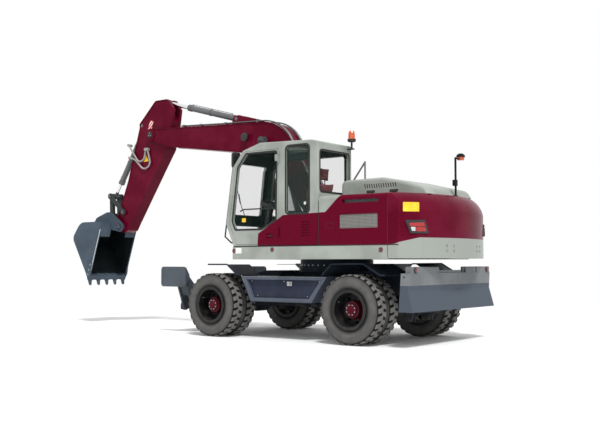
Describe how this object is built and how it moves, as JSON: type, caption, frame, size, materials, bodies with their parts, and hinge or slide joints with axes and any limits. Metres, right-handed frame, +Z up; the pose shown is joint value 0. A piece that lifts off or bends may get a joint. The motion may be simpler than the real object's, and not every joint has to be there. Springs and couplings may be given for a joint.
{
  "type": "wheeled excavator",
  "caption": "Wheeled excavator with slewing cab, boom, stick and bucket, twin tyres, a dozer blade at the back and folding outriggers at the front.",
  "frame": {"origin": "on the ground under the middle of the whole machine, arm included", "axes": "+X forward along the boom at rest, +Y to the left (cab side), +Z up"},
  "size_m": [8.4081, 2.55, 4.28],
  "materials": {
    "body": "gloss",
    "cab_paint": "satin",
    "chassis_paint": "satin",
    "slate": "satin",
    "rim_black": "satin",
    "ram_grey": "satin",
    "rod_chrome": "polished",
    "tyre": "matte",
    "glass": "clear",
    "seat_fabric": "matte",
    "trim": "matte",
    "amber": "gloss",
    "red_lens": "gloss",
    "engine": "matte",
    "pipe_steel": "satin"
  },
  "bodies": {
    "chassis": {"chassis_frame": "chassis_paint", "side_boxes": "slate", "mudguards": "chassis_paint", "rear_axle": "chassis_paint", "drivetrain": "chassis_paint", "outrigger_beam": "chassis_paint", "slew_ring": "chassis_paint"},
    "upper": {"turntable_frame": "cab_paint", "counterweight": "body", "side_covers": "body", "hood": "cab_paint", "engine_block": "engine", "tank_box": "body", "cab_shell": "cab_paint", "cab_glass": "glass", "seat": "seat_fabric", "controls": "trim", "rails": "trim", "beacon": "amber", "mirrors": "trim", "tail_lamps": "red_lens"},
    "door": {"cab_door": "cab_paint", "door_glass": "glass"},
    "boom": {"boom": "body", "boom_pipes": "pipe_steel"},
    "stick": {"stick": "body", "stick_hoses": "trim"},
    "rocker": {"rocker": "ram_grey"},
    "link": {"link": "slate"},
    "bucket": {"bucket": "slate"},
    "boom_barrels": {"boom_barrels": "ram_grey"},
    "boom_rods": {"boom_rods": "rod_chrome"},
    "stick_barrel": {"stick_barrel": "ram_grey"},
    "stick_rod": {"stick_rod": "rod_chrome"},
    "bucket_barrel": {"bucket_barrel": "ram_grey"},
    "bucket_rod": {"bucket_rod": "rod_chrome"},
    "front_axle": {"front_axle": "chassis_paint"},
    "knuckle_left": {"knuckle_left": "chassis_paint"},
    "knuckle_right": {"knuckle_right": "chassis_paint"},
    "outrigger_leg_left": {"outrigger_leg_left": "slate"},
    "outrigger_leg_right": {"outrigger_leg_right": "slate"},
    "outrigger_pad_left": {"outrigger_pad_left": "slate"},
    "outrigger_pad_right": {"outrigger_pad_right": "slate"},
    "outrigger_barrel_left": {"outrigger_barrel_left": "ram_grey"},
    "outrigger_barrel_right": {"outrigger_barrel_right": "ram_grey"},
    "outrigger_rod_left": {"outrigger_rod_left": "rod_chrome"},
    "outrigger_rod_right": {"outrigger_rod_right": "rod_chrome"},
    "blade_arms_lower": {"blade_arms_lower": "chassis_paint"},
    "blade_arms_upper": {"blade_arms_upper": "chassis_paint"},
    "blade": {"blade": "slate"},
    "blade_barrels": {"blade_barrels": "ram_grey"},
    "blade_rods": {"blade_rods": "rod_chrome"},
    "wheels_front_left": {"tyres_front_left": "tyre", "wheel_front_left": "rim_black"},
    "wheels_front_right": {"tyres_front_right": "tyre", "wheel_front_right": "rim_black"},
    "wheels_rear_left": {"tyres_rear_left": "tyre", "wheel_rear_left": "rim_black"},
    "wheels_rear_right": {"tyres_rear_right": "tyre", "wheel_rear_right": "rim_black"}
  },
  "joints": [
    {"name": "axle_swing", "type": "hinge", "parent": "chassis", "child": "front_axle", "pos_m": [-0.27, 0, 0.69], "axis": [-1, 0, 0], "range_deg": [-5.5, 5.5]},
    {"name": "steer_left", "type": "hinge", "parent": "front_axle", "child": "knuckle_left", "pos_m": [-0.27, 0.8, 0.509], "axis": [0, 0, 1], "range_deg": [-25, 25]},
    {"name": "steer_right", "type": "hinge", "parent": "front_axle", "child": "knuckle_right", "pos_m": [-0.27, -0.8, 0.509], "axis": [0, 0, 1], "range_deg": [-25, 25]},
    {"name": "roll_front_left", "type": "hinge", "parent": "knuckle_left", "child": "wheels_front_left", "pos_m": [-0.27, 0.99, 0.509], "axis": [0, 1, 0], "continuous": true},
    {"name": "roll_front_right", "type": "hinge", "parent": "knuckle_right", "child": "wheels_front_right", "pos_m": [-0.27, -0.99, 0.509], "axis": [0, 1, 0], "continuous": true},
    {"name": "roll_rear_left", "type": "hinge", "parent": "chassis", "child": "wheels_rear_left", "pos_m": [-2.96, 0.99, 0.509], "axis": [0, 1, 0], "continuous": true},
    {"name": "roll_rear_right", "type": "hinge", "parent": "chassis", "child": "wheels_rear_right", "pos_m": [-2.96, -0.99, 0.509], "axis": [0, 1, 0], "continuous": true},
    {"name": "slew", "type": "hinge", "parent": "chassis", "child": "upper", "pos_m": [-1.88, 0, 1.135], "axis": [0, 0, 1], "continuous": true},
    {"name": "door", "type": "hinge", "parent": "upper", "child": "door", "pos_m": [-1.662, 1.262, 1.6], "axis": [0, 0, 1], "range_deg": [0, 165]},
    {"name": "boom", "type": "hinge", "parent": "upper", "child": "boom", "pos_m": [-1.73, 0, 1.75], "axis": [0, -1, 0], "range_deg": [-50, 38]},
    {"name": "stick", "type": "hinge", "parent": "boom", "child": "stick", "pos_m": [2.32, 0, 3.62], "axis": [0, 1, 0], "range_deg": [-45, 60]},
    {"name": "bucket", "type": "hinge", "parent": "stick", "child": "bucket", "pos_m": [3.15, 0, 1.89], "axis": [0, 1, 0], "range_deg": [-30, 115]},
    {"name": "rocker", "type": "hinge", "parent": "stick", "child": "rocker", "pos_m": [3.095, 0, 2.17], "axis": [0, 1, 0], "range_deg": [-22.8, 87.4]},
    {"name": "link", "type": "hinge", "parent": "rocker", "child": "link", "pos_m": [3.48, 0, 2.5], "axis": [0, 1, 0], "range_deg": [-52.9, 13.8]},
    {"name": "boom_barrels_swing", "type": "hinge", "parent": "upper", "child": "boom_barrels", "pos_m": [-1.08, 0, 1.44], "axis": [0, -1, 0], "range_deg": [-48.89, 37.16]},
    {"name": "boom_rods_stroke", "type": "slide", "parent": "boom_barrels", "child": "boom_rods", "axis": [0.2926, 0, 0.9562], "range_m": [-0.5929, 0.4507]},
    {"name": "stick_barrel_swing", "type": "hinge", "parent": "boom", "child": "stick_barrel", "pos_m": [0.22, 0, 3.735], "axis": [0, -1, 0], "range_deg": [-0.545, 0.409]},
    {"name": "stick_rod_stroke", "type": "slide", "parent": "stick_barrel", "child": "stick_rod", "axis": [0.9648, 0, 0.2629], "range_m": [-0.4885, 0.6512]},
    {"name": "bucket_barrel_swing", "type": "hinge", "parent": "stick", "child": "bucket_barrel", "pos_m": [2.62, 0, 3.83], "axis": [0, -1, 0], "range_deg": [-8.41, 2.2]},
    {"name": "bucket_rod_stroke", "type": "slide", "parent": "bucket_barrel", "child": "bucket_rod", "axis": [0.543, 0, -0.8397], "range_m": [-0.1759, 0.6737]},
    {"name": "blade_arm", "type": "hinge", "parent": "chassis", "child": "blade_arms_lower", "pos_m": [-3.38, 0, 0.36], "axis": [0, -1, 0], "range_deg": [0, 62]},
    {"name": "blade_arm_upper", "type": "hinge", "parent": "chassis", "child": "blade_arms_upper", "pos_m": [-3.38, 0, 0.6], "axis": [0, -1, 0], "range_deg": [0, 62]},
    {"name": "blade_level", "type": "hinge", "parent": "blade_arms_lower", "child": "blade", "pos_m": [-3.848, 0, 0.609], "axis": [0, -1, 0], "range_deg": [-62, 0]},
    {"name": "blade_barrels_swing", "type": "hinge", "parent": "chassis", "child": "blade_barrels", "pos_m": [-3.23, 0, 0.96], "axis": [0, -1, 0], "range_deg": [0, 31.95]},
    {"name": "blade_rods_stroke", "type": "slide", "parent": "blade_barrels", "child": "blade_rods", "axis": [-0.9322, 0, -0.362], "range_m": [0, 0.3498]},
    {"name": "outrigger_leg_left", "type": "hinge", "parent": "chassis", "child": "outrigger_leg_left", "pos_m": [0.64, 0.79, 0.43], "axis": [-1, 0, 0], "range_deg": [0, 110]},
    {"name": "outrigger_pad_left", "type": "hinge", "parent": "outrigger_leg_left", "child": "outrigger_pad_left", "pos_m": [0.64, 1, 0.95], "axis": [1, 0, 0], "range_deg": [-20, 20]},
    {"name": "outrigger_barrel_left_swing", "type": "hinge", "parent": "chassis", "child": "outrigger_barrel_left", "pos_m": [0.64, 0.15, 0.79], "axis": [1, 0, 0], "range_deg": [-10.76, 0]},
    {"name": "outrigger_rod_left_stroke", "type": "slide", "parent": "outrigger_barrel_left", "child": "outrigger_rod_left", "axis": [0, 0.9862, -0.1657], "range_m": [0, 0.4357]},
    {"name": "outrigger_leg_right", "type": "hinge", "parent": "chassis", "child": "outrigger_leg_right", "pos_m": [0.64, -0.79, 0.43], "axis": [1, 0, 0], "range_deg": [0, 110]},
    {"name": "outrigger_pad_right", "type": "hinge", "parent": "outrigger_leg_right", "child": "outrigger_pad_right", "pos_m": [0.64, -1, 0.95], "axis": [1, 0, 0], "range_deg": [-20, 20]},
    {"name": "outrigger_barrel_right_swing", "type": "hinge", "parent": "chassis", "child": "outrigger_barrel_right", "pos_m": [0.64, -0.15, 0.79], "axis": [-1, 0, 0], "range_deg": [-10.76, 0]},
    {"name": "outrigger_rod_right_stroke", "type": "slide", "parent": "outrigger_barrel_right", "child": "outrigger_rod_right", "axis": [0, -0.9862, -0.1657], "range_m": [0, 0.4357]}
  ],
  "couplings": [
    {"joint": "steer_right", "follows": "steer_left", "ratio": 1},
    {"joint": "rocker", "follows": "bucket", "ratio": 0.76},
    {"joint": "link", "follows": "bucket", "ratio": -0.46},
    {"joint": "boom_barrels_swing", "follows": "boom", "ratio": 0.97774},
    {"joint": "boom_rods_stroke", "follows": "boom", "m_per_rad": 0.6792},
    {"joint": "stick_barrel_swing", "follows": "stick", "ratio": -0.00906},
    {"joint": "stick_rod_stroke", "follows": "stick", "m_per_rad": 0.6217},
    {"joint": "bucket_barrel_swing", "follows": "bucket", "ratio": -0.07314},
    {"joint": "bucket_rod_stroke", "follows": "bucket", "m_per_rad": 0.33554},
    {"joint": "blade_arm_upper", "follows": "blade_arm", "ratio": 1},
    {"joint": "blade_level", "follows": "blade_arm", "ratio": -1},
    {"joint": "blade_barrels_swing", "follows": "blade_arm", "ratio": 0.51533},
    {"joint": "blade_rods_stroke", "follows": "blade_arm", "m_per_rad": 0.3231},
    {"joint": "outrigger_barrel_left_swing", "follows": "outrigger_leg_left", "ratio": -0.09777},
    {"joint": "outrigger_rod_left_stroke", "follows": "outrigger_leg_left", "m_per_rad": 0.22686},
    {"joint": "outrigger_barrel_right_swing", "follows": "outrigger_leg_right", "ratio": -0.09777},
    {"joint": "outrigger_rod_right_stroke", "follows": "outrigger_leg_right", "m_per_rad": 0.22686}
  ]
}
